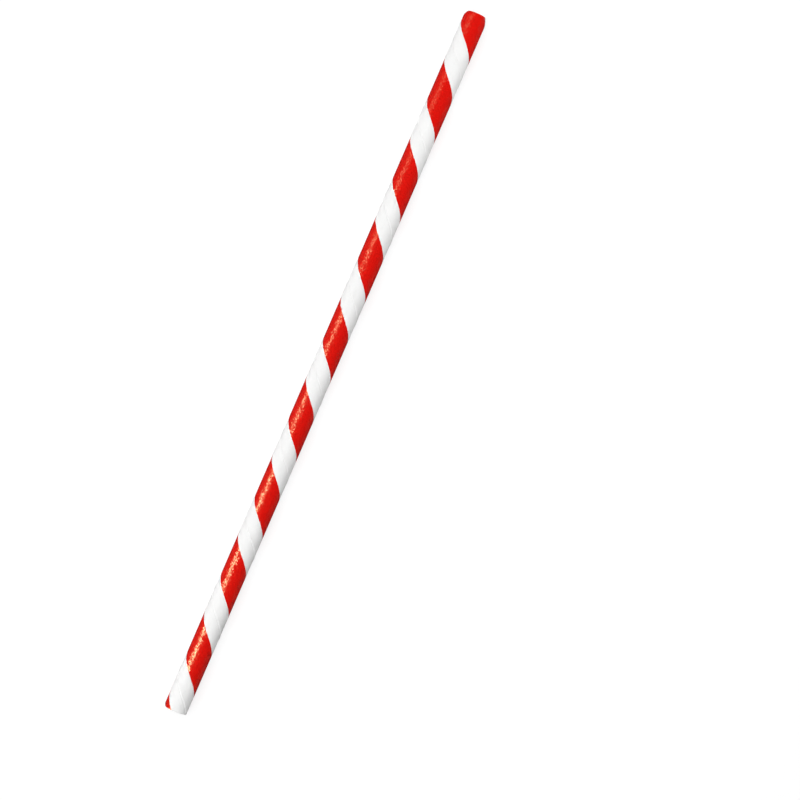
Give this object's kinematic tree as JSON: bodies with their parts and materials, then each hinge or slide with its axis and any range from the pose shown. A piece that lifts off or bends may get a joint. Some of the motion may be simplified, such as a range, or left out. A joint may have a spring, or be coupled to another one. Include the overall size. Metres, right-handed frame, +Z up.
{
  "type": "paper drinking straw",
  "caption": "Straight paper drinking straw: a slim open tube of spiral-wound white paper with a red helical stripe and a fine butt seam, cut square at both ends.",
  "frame": {"origin": "on the surface that the straw lies on, under the middle of its length", "axes": "+X along the straw's axis, +Z up from the surface that it lies on"},
  "size_m": [0.197, 0.0062, 0.0062],
  "materials": {
    "printed_paper": "smooth white paper with a slightly glossy red printed helical stripe"
  },
  "bodies": {
    "root": {"paper_straw": "printed_paper"}
  },
  "joints": []
}
